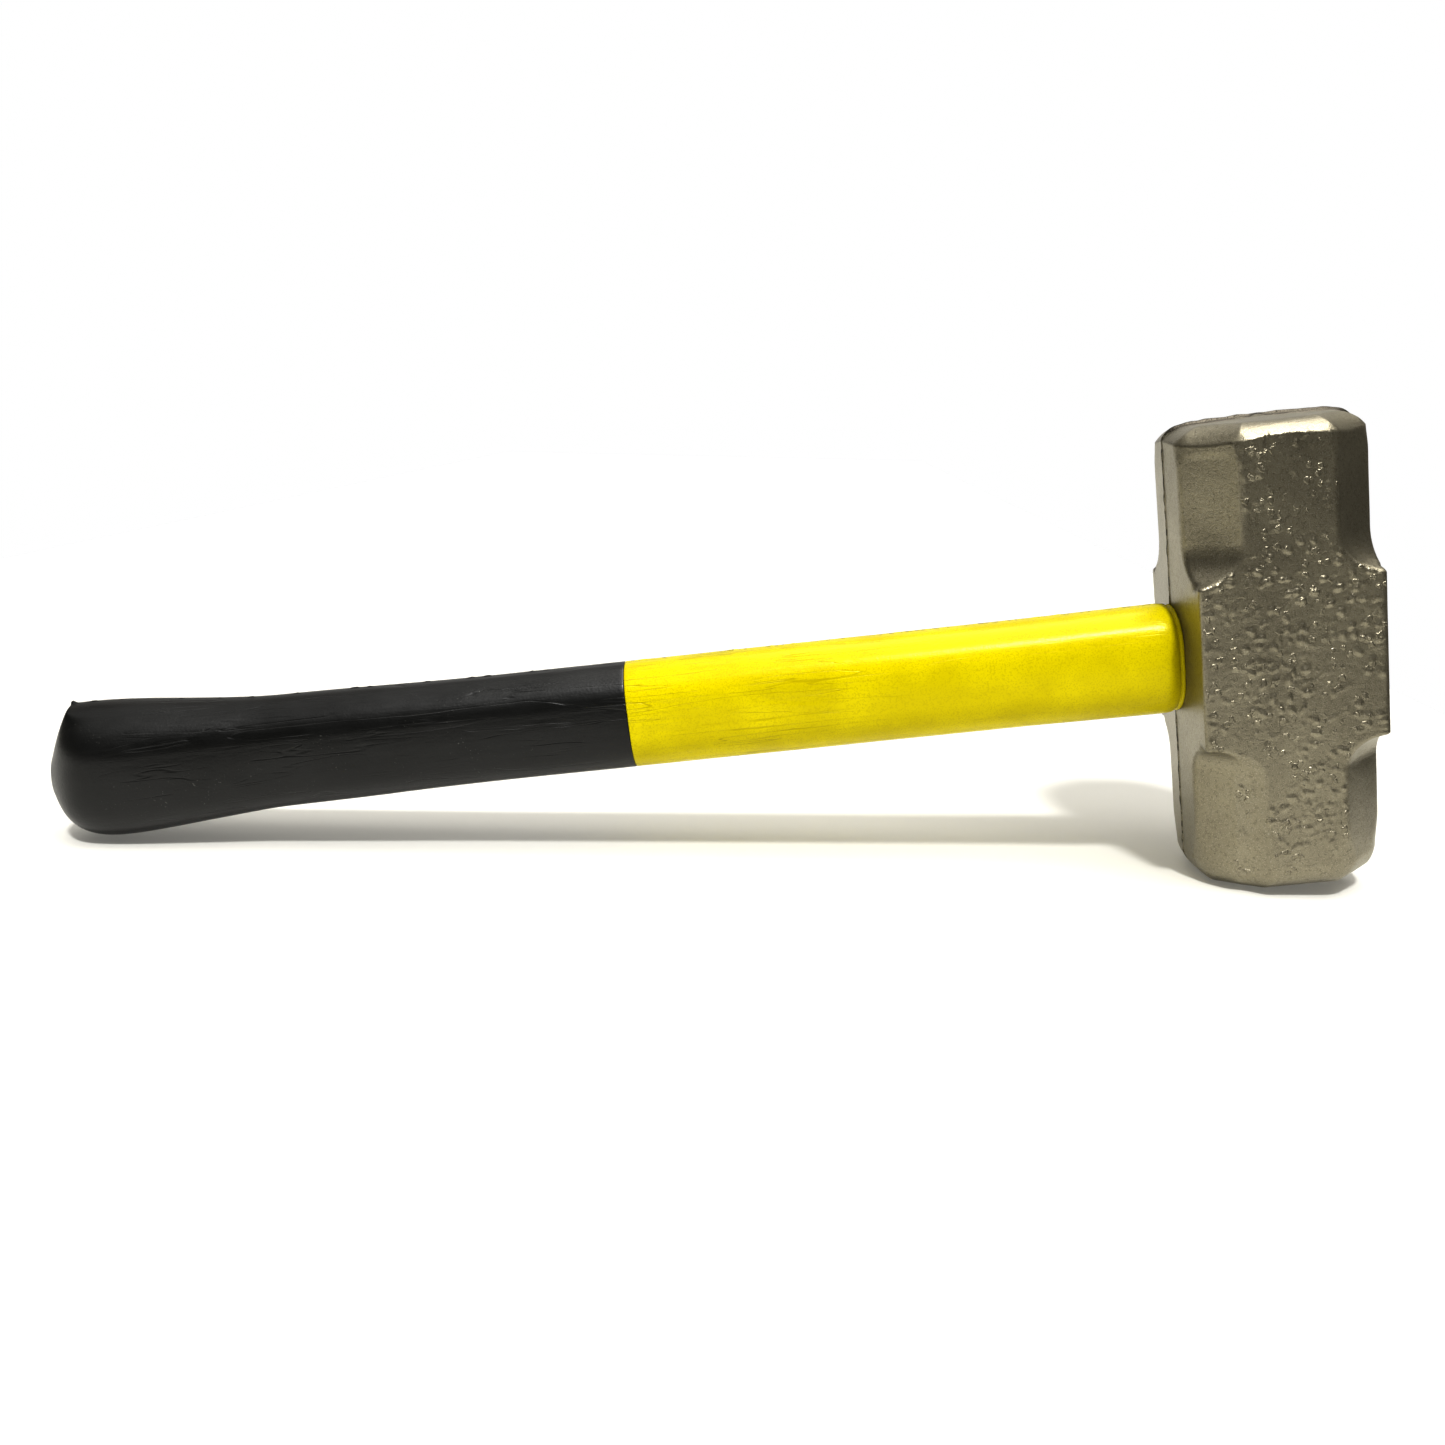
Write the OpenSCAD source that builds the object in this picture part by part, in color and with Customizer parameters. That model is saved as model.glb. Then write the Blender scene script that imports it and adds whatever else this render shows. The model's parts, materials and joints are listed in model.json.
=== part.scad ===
// Short-handled double-faced sledgehammer, forged head on a fibreglass handle.
// It stands on one striking face with the handle sloping down, so that the butt rests on the floor.
//
// Tool frame: the origin is the middle of the head, X runs along the handle towards the crown of
// the eye, Y runs across the thickness, Z runs along the head from face to face. Every piece is
// drawn there, and stand() leans it to its resting place: floor at z = 0, handle towards -X.

/* [Head] */
// Length between the two striking faces
head_l = 137.5; // [125:0.5:150]
// Width across the ridges that the forging draft leaves on the eye sides
head_w = 55.5; // [52:0.5:60]
// Thickness from cheek to cheek
head_t = 55.5; // [52:0.5:60]
// Draft of the eye sides, from the ridge to the cheek, in degrees
draft = 3.4; // [1:0.2:5]
// Length of the square middle block, measured at its corners
cheek_l = 47.5; // [42:0.5:54]
// Width of the main flats of the octagonal ends
flat_w = 26.5; // [24:0.5:30]
// Radius of the scoop in which each corner chamfer runs out
scoop_r = 10.5; // [10:0.5:14]
// Rounding round each striking face
face_r = 7.5; // [5:0.5:9]

/* [Eye] */
// Half of the straight length of the oval eye
eye_c = 5; // [4:0.25:6]
// End radius of the eye at the throat, where the handle goes in
throat_r = 9.75; // [9.5:0.05:10]
// End radius of the eye at its waist
waist_r = 9.25; // [9:0.05:9.4]
// End radius of the eye at the crown, where the epoxy wedge locks it
crown_r = 10.5; // [10:0.1:11.5]
// Lead-in chamfer round both mouths of the eye
eye_lead = 0.8; // [0.4:0.1:1.2]

/* [Handle] */
// Overall length, from the butt to the crown side of the head
overall_l = 406.4; // [370:0.1:440]
// Half of the straight sides of the oval handle section
grip_c = 4.3; // [3.5:0.1:5]
// End radius of the handle section at the shoulder
shoulder_r = 12.55; // [12.4:0.05:13]
// End radius of the handle section along the shank
shank_r = 12.2; // [11.8:0.05:12.4]
// Length over which the shoulder blends into the shank
shoulder_l = 55; // [30:5:90]
// Small bevel on the shoulder's rim
shoulder_bevel = 1.2; // [0.6:0.1:1.8]
// How far the jacket's pilot nose goes into the eye
pilot_l = 4; // [3:0.5:6]

/* [Core] */
// Half of the straight sides of the fibreglass rod
core_c = 4.75; // [4:0.25:5]
// End radius of the fibreglass rod
core_r = 6.75; // [6:0.25:7]
// How far the rod's end lies below the crown of the head
core_recess = 0.8; // [0.5:0.1:2]
// How far the epoxy lies below the crown of the head
epoxy_recess = 2.2; // [2.1:0.1:4]
// Thickness of the seal ring between the pilot nose and the epoxy
seal_l = 2.5; // [2:0.5:4]

/* [Grip] */
// Length of the rubber grip sleeve
sleeve_l = 184.8; // [160:0.1:200]
// End radius of the section at the palm swell
palm_r = 13.4; // [12.8:0.1:14]
// End radius of the section at the flared butt
butt_r = 17.6; // [16:0.1:18]
// Rounding round the rim of the butt
butt_round = 14; // [8:0.5:16]
// Radius of the barrel-shaped end of the butt, seen from the side
butt_arc = 38; // [32:1:44]
// Radius of that end across the thickness
barrel_r = 17.8; // [17.7:0.05:19]
// Height of the end's middle above the handle's axis
butt_low = -4; // [-6:0.5:0]
// Straight length of the sleeve before the palm swell starts
palm_start = 34; // [20:1:45]
// Length over which the palm swell grows
palm_l = 85; // [60:1:100]
// Where the flare starts, from the butt's end
flare_l = 76; // [60:1:85]
// Thickness of the sleeve at its front edge
sleeve_wall = 2.7; // [2.4:0.1:3]
// Solid rubber behind the end of the rod
butt_wall = 9; // [6:0.5:12]
// Height of the ribs that key the sleeve to the jacket
rib_h = 0.8; // [0.5:0.1:1]

/* [Hidden] */

$fn = 96;
slack = 1;                    // how far a cutting shape overruns the face it cuts

half_w = head_w / 2;
half_t = head_t / 2;
half_l = head_l / 2;
corner_x = half_w - half_t * tan(draft);          // cheek corner, from the middle plane
chamfer_n = (flat_w / 2 + half_t) / sqrt(2);      // corner chamfer, from the head's axis
corner_n = (corner_x + half_t) / sqrt(2);         // cheek corner, the same way
scoop_n = chamfer_n + scoop_r;
scoop_z = cheek_l / 2 + sqrt(pow(scoop_r, 2) - pow(scoop_n - corner_n, 2));

butt_x = half_w - overall_l;                      // outer end of the butt
sleeve_x = butt_x + sleeve_l;                     // front edge of the sleeve
core_end_x = butt_x + butt_wall;
jacket_end_x = core_end_x + 6;
rebate_r = shank_r - sleeve_wall;                 // jacket under the sleeve
rib_pitch = 36;
rib_l = 8;
rim_x = butt_x + butt_round;                      // where the rounding of the butt's rim starts
arc_x = butt_x + butt_arc;                        // centre of the barrel-shaped end
pilot_r = throat_r - 0.3;
pilot_x = pilot_l - half_w;
seal_x = pilot_x + seal_l;

// The floor touches the roundings under the head and under the butt: the lean is that of their
// common tangent.
face_rim = [face_r - half_w, face_r - half_l];
butt_rim = [rim_x, butt_round - butt_r - grip_c];
span = face_rim - butt_rim;
lean = atan2(-span[1], span[0]) + asin((face_r - butt_round) / norm(span));
floor_z = face_rim[0] * sin(lean) + face_rim[1] * cos(lean) - face_r;
high_x = -face_rim[0] * cos(lean) - face_rim[1] * sin(lean) + face_r;
low_x = arc_x * cos(lean) - butt_low * sin(lean) - butt_arc;

function ease(t) = let (u = min(max(t, 0), 1)) u * u * (3 - 2 * u);

// End radius of the yellow jacket and of the rubber sleeve at a place along the handle
function jacket_radius(x) = shoulder_r - (shoulder_r - shank_r) * ease((-half_w - x) / shoulder_l);
function sleeve_radius(x) = shank_r
    + (palm_r - shank_r) * ease((sleeve_x - palm_start - x) / palm_l)
    + (butt_r - palm_r) * ease((butt_x + flare_l - x) / (flare_l - butt_round));

// Leans the tool until it stands on the floor, and centres it over the origin.
module stand() {
    translate([-(high_x + low_x) / 2, 0, -floor_z])
    rotate([0, -lean, 0])
    children();
}

// A body with an oval section. The child is its outline, radius against place along the handle:
// it is turned at both ends of the oval and carried straight across between them.
module oval_body(c) {
    rotate([0, 90, 0]) {
        for (s = [-1, 1]) translate([s * c, 0, 0]) rotate_extrude() children();
        rotate([90, 0, 90]) linear_extrude(2 * c, center = true) {
            children();
            mirror([1, 0]) children();
        }
    }
}

module slab(x0, x1) {
    translate([x0, -head_t, -head_l]) cube([x1 - x0, 2 * head_t, 2 * head_l]);
}

module rounded_outline(w, h, r) {
    square([w - 2 * r, h], center = true);
    square([w, h - 2 * r], center = true);
    for (sx = [-1, 1], sy = [-1, 1]) translate([sx * (w / 2 - r), sy * (h / 2 - r)]) circle(r);
}

// Head seen along a corner diagonal: chamfered ends, and scoops that run out at the cheeks
module diagonal_outline() {
    rounded_outline(2 * chamfer_n, head_l, face_r);
    difference() {
        square([2 * corner_n + slack, 2 * scoop_z], center = true);
        for (sx = [-1, 1], sy = [-1, 1]) translate([sx * scoop_n, sy * scoop_z]) circle(scoop_r);
    }
}

// Head seen along its length: the eye sides rise to a ridge where the forging dies met
module drafted_prism(h) {
    linear_extrude(h, center = true) polygon([
        [-half_w, 0], [-corner_x, -half_t], [corner_x, -half_t],
        [half_w, 0], [corner_x, half_t], [-corner_x, half_t]
    ]);
}

module upright(angle, l) {
    rotate([0, 0, angle]) rotate([90, 0, 0]) linear_extrude(l, center = true) children();
}

module head_blank() {
    intersection() {
        drafted_prism(head_l);
        upright(0, 2 * head_w) rounded_outline(head_w, head_l, face_r);
        upright(90, 2 * head_w) rounded_outline(head_t, head_l, face_r);
        upright(45, 2 * head_w) diagonal_outline();
        upright(-45, 2 * head_w) diagonal_outline();
    }
}

// The eye narrows from both mouths to a waist, which is what locks the handle in.
module eye_space() {
    oval_body(eye_c) polygon([
        [0, -half_w - slack], [throat_r + eye_lead + slack, -half_w - slack],
        [throat_r, eye_lead - half_w], [waist_r, 0], [crown_r, half_w - eye_lead],
        [crown_r + eye_lead + slack, half_w + slack], [0, half_w + slack]
    ]);
}

module core_rod() {
    oval_body(core_c) translate([0, core_end_x]) square([core_r, half_w - core_recess - core_end_x]);
}

// Jacket under the sleeve, with the ribs that key the two together
module jacket_rebate() {
    oval_body(grip_c) {
        translate([0, jacket_end_x]) square([rebate_r, sleeve_x - jacket_end_x + slack]);
        for (i = [1:4]) translate([0, sleeve_x - i * rib_pitch]) square([rebate_r + rib_h, rib_l]);
    }
}

module jacket_shank() {
    steps = 12;
    oval_body(grip_c) polygon(concat(
        [[0, sleeve_x], [shank_r, sleeve_x]],
        [for (i = [0:steps])
            let (x = -half_w - shoulder_l + i * (shoulder_l - shoulder_bevel) / steps)
            [jacket_radius(x), x]],
        [[shoulder_r - shoulder_bevel, -half_w], [shoulder_r - shoulder_bevel, 0], [0, 0]]
    ));
}

module sleeve_outline() {
    steps = 36;
    rim_steps = 12;
    polygon(concat(
        [[0, sleeve_x]],
        [for (i = [0:steps])
            let (x = sleeve_x + i * (rim_x - sleeve_x) / steps) [sleeve_radius(x), x]],
        [for (i = [1:rim_steps])
            let (a = 90 * i / rim_steps)
            [butt_r - butt_round + butt_round * cos(a), rim_x - butt_round * sin(a)]],
        [[0, butt_x]]
    ));
}

// Room for the sleeve: a barrel lying across the butt, and all there is in front of it
module barrel_end() {
    translate([arc_x, 0, butt_low]) rotate([90, 0, 0]) rotate_extrude() {
        translate([butt_arc - barrel_r, 0]) circle(barrel_r);
        translate([0, -barrel_r]) square([butt_arc - barrel_r, 2 * barrel_r]);
    }
    slab(butt_x + barrel_r, 0);
}

module head() {
    color("dimgray") stand() difference() {
        head_blank();
        eye_space();
    }
}

module eye_epoxy() {
    color("darkgoldenrod") stand() difference() {
        intersection() {
            eye_space();
            slab(seal_x, half_w - epoxy_recess);
        }
        core_rod();
    }
}

module eye_seal_ring() {
    color("black") stand() difference() {
        intersection() {
            eye_space();
            slab(pilot_x, seal_x);
        }
        core_rod();
    }
}

module handle_core() {
    color("khaki") stand() core_rod();
}

module handle_jacket() {
    color("gold") stand() difference() {
        union() {
            difference() {
                jacket_shank();
                drafted_prism(head_l);
            }
            oval_body(eye_c) translate([0, -half_w - slack]) square([pilot_r, pilot_l + slack]);
            jacket_rebate();
        }
        core_rod();
    }
}

module grip_sleeve() {
    color("darkslategray") stand() difference() {
        intersection() {
            oval_body(grip_c) sleeve_outline();
            barrel_end();
        }
        jacket_rebate();
        core_rod();
    }
}

head();
eye_epoxy();
eye_seal_ring();
handle_core();
handle_jacket();
grip_sleeve();
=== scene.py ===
"""Looks of the sledgehammer: forged head, yellow jacket, rubber grip and the bonded eye."""

import json
import math

import bpy
import numpy as np
from mathutils import Matrix, Vector


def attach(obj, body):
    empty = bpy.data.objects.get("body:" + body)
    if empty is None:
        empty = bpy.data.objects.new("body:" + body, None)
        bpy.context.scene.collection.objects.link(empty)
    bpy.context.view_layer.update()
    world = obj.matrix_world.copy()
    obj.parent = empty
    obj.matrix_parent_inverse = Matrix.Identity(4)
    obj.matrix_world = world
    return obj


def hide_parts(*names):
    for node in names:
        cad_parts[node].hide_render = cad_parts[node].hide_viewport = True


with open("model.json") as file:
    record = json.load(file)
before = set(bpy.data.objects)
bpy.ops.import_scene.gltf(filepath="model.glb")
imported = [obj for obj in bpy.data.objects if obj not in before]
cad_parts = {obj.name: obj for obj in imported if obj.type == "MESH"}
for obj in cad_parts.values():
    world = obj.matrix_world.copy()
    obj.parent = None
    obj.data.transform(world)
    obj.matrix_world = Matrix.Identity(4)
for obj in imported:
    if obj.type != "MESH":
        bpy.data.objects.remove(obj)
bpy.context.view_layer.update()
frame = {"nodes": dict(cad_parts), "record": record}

MM = 0.001

# ---------------------------------------------------------------- tool frame
# The head's middle is the origin, X runs along the handle to the crown of the eye, Y across the
# thickness and Z along the head. The two striking faces in the record fix where that frame lies.

FACES = {m["name"]: Vector(m["pos_m"]) for m in frame["record"]["mounts"]}
UPPER, LOWER = FACES["striking_face_upper"], FACES["striking_face_lower"]
CENTRE = (UPPER + LOWER) / 2
AXIS_Z = (UPPER - LOWER).normalized()
AXIS_Y = Vector((0, 1, 0))
AXIS_X = AXIS_Y.cross(AXIS_Z)
LEAN = math.atan2(AXIS_X.z, AXIS_X.x)
TOOL = np.array([AXIS_X, AXIS_Y, AXIS_Z], float)


def to_row(points):
    """Points in millimetres in the tool frame, as metres in the row frame."""
    return np.asarray(points, float) @ TOOL * MM + np.array(CENTRE)


def extent(node):
    """Lowest and highest corner of a CAD node in the tool frame, in millimetres."""
    co = np.array([v.co for v in frame["nodes"][node].data.vertices], float)
    local = (co - np.array(CENTRE)) @ TOOL.T / MM
    return local.min(0), local.max(0)


HALF_L = (UPPER - LOWER).length / 2 / MM
HALF_W, HALF_T = extent("head")[1][:2]
BUTT_X, SLEEVE_X = extent("grip_sleeve")[0][0], extent("grip_sleeve")[1][0]
CORE_R = extent("handle_core")[1][1]
CORE_C = extent("handle_core")[1][2] - CORE_R
CORE_X0, CORE_X1 = extent("handle_core")[0][0], extent("handle_core")[1][0]
SEAL_X = extent("eye_seal_ring")[1][0]
PILOT_X = extent("eye_seal_ring")[0][0]
JACKET_X = extent("handle_jacket")[0][0]
EPOXY_X = extent("eye_epoxy")[1][0]

# Shapes inside those boxes, in millimetres, as the CAD part has them
DRAFT = math.tan(math.radians(3.4))     # taper of the sides that the eye goes through
FLAT_W = 26.5                           # the main flats, between the corner chamfers
CHEEK_Z = 23.75                         # half height of the square middle
SCOOP_R = 10.5                          # the scoops in which the CAD chamfers run out
FACE_R = 7.5                            # reach of the bevel round each striking face
EYE_C = 5.0                             # half the straight side of the oval eye
THROAT_R, WAIST_R, CROWN_R = 9.75, 9.25, 10.5
GRIP_C = 4.3                            # half the straight side of the handle's oval
SHOULDER_R, SHOULDER_L = 12.55, 55.0    # the jacket at the head, and the length of its taper
SHANK_R = 12.2
PALM_R, PALM_START, PALM_L = 13.4, 34.0, 85.0    # the palm swell, how far back it starts, its length
FLARE_L = 76.0                          # from the end of the butt to where its flare starts
BUTT_R, BUTT_ROUND = 17.6, 14.0
BUTT_ARC, BARREL_R = 38.0, 17.8         # how the butt's end is curved up and down, and across
BUTT_LOW = -4.0                         # the height at which the butt reaches furthest
REBATE_R, RIB_H, RIB_L, RIB_PITCH = 9.5, 0.8, 8.0, 36.0
RIBS, RIB_EDGE = 4, 0.3                 # their number, and the slope at each side of one
PILOT_R = THROAT_R - 0.3

CHAMFER_N = (FLAT_W / 2 + HALF_T) / math.sqrt(2)
CORNER_N = (HALF_W - HALF_T * DRAFT + HALF_T) / math.sqrt(2)
SCOOP_N = CHAMFER_N + SCOOP_R
SCOOP_Z = CHEEK_Z + math.sqrt(SCOOP_R**2 - (SCOOP_N - CORNER_N) ** 2)


# ---------------------------------------------------------------- small tools
NOISE_SHIFT = 1000.0                    # keeps the lattice numbers positive
NOISE_GAIN = 1.6


def ease(t):
    """A smooth step from 0 to 1, level outside."""
    u = np.clip(t, 0, 1)
    return u * u * (3 - 2 * u)


def ramp(x, low, high):
    """0 at low and 1 at high, smooth between them and level outside."""
    return ease((x - low) / (high - low))


def peak(off, width):
    """1 where off is 0, falling away within about that width."""
    return np.exp(-((off / width) ** 2))


def lattice(ix, iy, iz, seed):
    """A repeatable direction for each lattice point, from a hash of its whole numbers."""
    h = (ix * 374761393 + iy * 668265263 + iz * 2147483647 + seed * 144665) & 0xFFFFFFFF
    h = ((h ^ (h >> 13)) * 1274126177) & 0xFFFFFFFF
    h ^= h >> 16
    a = (h & 0xFFFF) / 65536.0 * 2 * math.pi
    z = ((h >> 16) & 0xFFFF) / 32768.0 - 1
    s = np.sqrt(np.maximum(0, 1 - z * z))
    return np.stack([s * np.cos(a), s * np.sin(a), z], -1)


def noise(points, size, seed=0):
    """Gradient noise, about -1 to 1, with features of the given size in millimetres."""
    p = points / np.asarray(size, float) + NOISE_SHIFT
    base = np.floor(p).astype(np.int64)
    f = p - base
    w = f * f * f * (f * (f * 6 - 15) + 10)
    total = np.zeros(len(p))
    for corner in np.ndindex(2, 2, 2):
        c = np.array(corner)
        g = lattice(*(base + c).T, seed)
        d = (g * (f - c)).sum(1)
        total += d * np.where(c, w, 1 - w).prod(1)
    return total * NOISE_GAIN


def spread(low, high, count, density):
    """count + 1 places from low to high, closer together where density is higher."""
    samples = 4001
    t = np.linspace(low, high, samples)
    d = density(t)
    run = np.concatenate([[0], np.cumsum((d[1:] + d[:-1]) / 2)])
    return np.interp(np.linspace(0, run[-1], count + 1), run, t)


def quads(rows):
    """Faces between consecutive rings of vertex numbers, each ring closed."""
    a, b = np.asarray(rows[:-1]), np.asarray(rows[1:])
    return np.stack([a, np.roll(a, -1, 1), np.roll(b, -1, 1), b], -1).reshape(-1, 4)


def make_piece(name, points, faces, height, material, slot, replaces):
    """A closed mesh from millimetre points, moved along its normals by height(points, normals)."""
    mesh = bpy.data.meshes.new(name)
    points = np.asarray(points, float)
    mesh.from_pydata(points.tolist(), [], [list(map(int, f)) for f in faces])
    mesh.validate()
    mesh.update()
    normals = np.empty(len(points) * 3, np.float32)
    mesh.vertex_normals.foreach_get("vector", normals)
    normals = normals.reshape(-1, 3).astype(float)
    points = points + normals * height(points, normals)[:, None]
    mesh.vertices.foreach_set("co", to_row(points).astype(np.float32).ravel())
    mesh.polygons.foreach_set("use_smooth", [True] * len(mesh.polygons))
    mesh.update()
    piece = bpy.data.objects.new(name, mesh)
    bpy.context.scene.collection.objects.link(piece)
    mesh.materials.append(material)
    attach(piece, "root")
    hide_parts(replaces)


# ---------------------------------------------------------------- head
EDGE_R = 0.8                            # the long edges where they are crisp
UPPER_WEAR, LOWER_WEAR = 1.8, 3.4       # what wear adds to that at the rims
SOFT_R, SOFT_X, SOFT_W = 7.0, -14, 5    # and at one lower edge: how much, where, how wide
COLUMNS = 4 * 80
HALF_ROWS = 118
ARC_ROWS = 13
UPPER_SCOOP_R, LOWER_SCOOP_R = 12.2, 9.0
UPPER_CREASE, UPPER_BEND = 64.1, 20.0   # where the bevel starts, and how far it bends each way
LOWER_CREASE, LOWER_BEND = 61.2, 35.0
LIFT, LIFT_Z = 0.95, 52                 # the upper crease is higher on the flats than on the chamfers
FACE_CROWN = 0.45
RIM_DROP = 0.12
CAP_RINGS = (0.93, 0.84, 0.73, 0.6, 0.45, 0.28, 0.12)
EYE_GRID = (19, 19, 9)                  # half width of the mouth in columns, extra rows, rings that blend
MOUTH_R = 0.8
MOUTH_RINGS, WALL_RINGS = 5, 15         # round the edge of each mouth, and through the eye
WALL_INSET = 3                          # the rings through the eye start this far inside
SEARCH_LOW, SEARCH_HIGH = 2.0, 45.0     # the sides lie between these radii
HALVINGS = 26

# The forging scale: heights and cells in millimetres, lengths and widths of lumps in cells
COARSE_CELL, SMALL_CELL = 3.7, 2.5
COARSE_H, SMALL_H, RIDGE_H, ROUGH_H = 0.44, 0.22, 0.14, 0.025
LUMP_LENGTH, LENGTH_VARIES = 0.36, 0.12
LUMP_WIDTH, WIDTH_VARIES = 0.23, 0.06
LUMP_SHIFT = 0.3                        # how far a lump may lie off the middle of its cell
LUMP_LEAST = -0.15                      # cells that draw less than this, of -1 to 1, stay empty


def corner_field(n, z):
    """Signed distance to a corner chamfer and the scoop in which it runs out at the cheek."""
    r = np.where(z > 0, UPPER_SCOOP_R, LOWER_SCOOP_R)
    centre = CHAMFER_N + r
    high = CHEEK_Z + np.sqrt(r * r - np.maximum(centre - CORNER_N, 0) ** 2)
    az = np.abs(z)
    scoop = np.where(n < centre, r - np.hypot(n - centre, az - high), az - high + r)
    return np.where(az > high, n - CHAMFER_N, scoop)


def edge_radius(x, y, z):
    """Rounding of the head's long edges: crisp, but worn soft at the rims and at one lower edge."""
    soft = SOFT_R * ramp(-z, 24, 36) * peak(x - SOFT_X, SOFT_W) * (y < 0)
    return EDGE_R + UPPER_WEAR * ramp(z, 57, 66) + LOWER_WEAR * ramp(-z, 50, 63) + soft


def side_field(x, y, z):
    """Signed distance to the head's sides, with rounded edges; below 0 inside."""
    ax, ay = np.abs(x), np.abs(y)
    corner = corner_field((ax + ay) / math.sqrt(2), z)
    planes = np.stack([ax + DRAFT * ay - HALF_W, ay - HALF_T, corner])
    edge = edge_radius(x, y, z)
    over = np.maximum(planes + edge, 0)
    return np.minimum(planes.max(0), -edge) + np.sqrt((over**2).sum(0))


def side_radius(angle, z, inset):
    """Distance from the head's long axis to the side surface, inset by a given amount."""
    low, high = np.full_like(z, SEARCH_LOW), np.full_like(z, SEARCH_HIGH)
    c, s = np.cos(angle), np.sin(angle)
    for _ in range(HALVINGS):
        mid = (low + high) / 2
        outside = side_field(mid * c, mid * s, z) > -inset
        high = np.where(outside, mid, high)
        low = np.where(outside, low, mid)
    return (low + high) / 2


def column_density(angle):
    """Columns of the head's grid: closer together on the scaly flats and at the seam."""
    along = np.minimum(HALF_W / np.cos(angle), HALF_T / np.maximum(np.sin(angle), 1e-6))
    along = np.minimum(along, CHAMFER_N * math.sqrt(2) / (np.cos(angle) + np.sin(angle)))
    flats = 1.1 * ramp(angle, 0.72, 0.95)
    seam = 2.6 * peak(angle, 0.035)
    return along * (1 + flats + seam)


def row_density(z):
    """Rows of the head's grid: closer together in the scoops, and most of all at the cheek's edge."""
    scoop = 0.4 * peak(z - CHEEK_Z - 5, 8)
    edge = 0.9 * peak(z - CHEEK_Z, 1.2)
    return 1 + scoop + edge


def bevel(crease, bend):
    """Height and inset of the rows round one face, on a chord that bends each way."""
    rise = HALF_L - RIM_DROP - crease
    half = math.hypot(rise, FACE_R) / 2
    r = half / math.sin(math.radians(bend))
    turn = np.radians(np.linspace(-bend, bend, ARC_ROWS + 1)[1:])
    along = r * np.sin(turn) / (2 * half)
    bulge = r * (np.cos(turn) - math.cos(math.radians(bend))) / (2 * half)
    return crease + rise * (0.5 + along) + FACE_R * bulge, FACE_R * (0.5 + along) - rise * bulge


def half_rows(crease, bend):
    """Height and inset of the grid's rows, from the middle of the head to one face."""
    side = spread(0, crease, HALF_ROWS, row_density)
    z, inset = bevel(crease, bend)
    return np.concatenate([side, z]), np.concatenate([0 * side, inset])


def oval_reach(dy, dz, c, r):
    """How far the stadium outline of half length c and end radius r lies in a direction."""
    flat = r / np.maximum(np.abs(dy), 1e-9)
    turned = c * np.abs(dz) + np.sqrt(np.maximum(r * r - (c * dy) ** 2, 0))
    return np.where(flat * np.abs(dz) <= c, flat, turned)


def eye_radius(x):
    """End radius of the oval eye at a place along the handle."""
    mouth = HALF_W - MOUTH_R
    return np.interp(x, [-mouth, 0, mouth], [THROAT_R, WAIST_R, CROWN_R])


def head_grid():
    """Rings of points along the head, from the lower rim to the upper one."""
    quarter = spread(0, math.pi / 2, COLUMNS // 4, column_density)[:-1]
    half = np.concatenate([quarter, math.pi - np.flip(np.append(quarter[1:], math.pi / 2))])
    angle = np.concatenate([half, half + math.pi])
    z_up, inset_up = half_rows(UPPER_CREASE, UPPER_BEND)
    z_low, inset_low = half_rows(LOWER_CREASE, LOWER_BEND)
    z = np.concatenate([-z_low[:0:-1], z_up])
    inset = np.concatenate([inset_low[:0:-1], inset_up])
    zz, aa = np.meshgrid(z, angle, indexing="ij")
    ii = np.repeat(inset[:, None], len(angle), 1)
    lift = LIFT * np.cos(4 * aa) * ramp(zz, LIFT_Z, UPPER_CREASE) * (1 - ii / FACE_R)
    r = side_radius(aa, zz + lift, ii)
    return np.stack([r * np.cos(aa), r * np.sin(aa), zz + lift], -1)


def open_mouth(grid, side, wall_r):
    """Bends the grid round one mouth of the eye, and gives the mouth's ring as grid indices."""
    width, extra, blend = EYE_GRID
    outer = width + blend
    centre = 0 if side > 0 else COLUMNS // 2
    middle = grid.shape[0] // 2
    shape = grid.copy()

    def at(a, b):
        """Where the unbent grid has a fractional index, on the y and z axes."""
        a0, b0 = math.floor(a), math.floor(b)
        fa, fb = a - a0, b - b0
        total = np.zeros(2)
        for da, wa in ((0, 1 - fa), (1, fa)):
            for db, wb in ((0, 1 - fb), (1, fb)):
                if wa * wb > 0:
                    column = (centre + side * (a0 + da)) % COLUMNS
                    total += wa * wb * grid[middle + b0 + db, column, 1:]
        return total

    for a in range(-outer + 1, outer):
        for b in range(-outer - extra + 1, outer + extra):
            m = max(abs(a), abs(b) - extra)
            if m < width:
                continue
            far = at(a * outer / m, b * (outer + extra) / (m + extra))
            reach = np.hypot(*far)
            dy, dz = far / reach
            near = oval_reach(dy, dz, EYE_C, wall_r + MOUTH_R)
            y, z = np.array([dy, dz]) * (near + (reach - near) * (m - width) / blend)
            x = side * (HALF_W - DRAFT * abs(y))
            shape[middle + b, (centre + side * a) % COLUMNS] = (x, y, z)
    h = width + extra
    ring = [(width, b) for b in range(-h, h)] + [(a, h) for a in range(width, -width, -1)]
    ring += [(-width, b) for b in range(h, -h, -1)] + [(a, -h) for a in range(-width, width)]
    return shape, [(middle + b, (centre + side * a) % COLUMNS) for a, b in ring]


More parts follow.
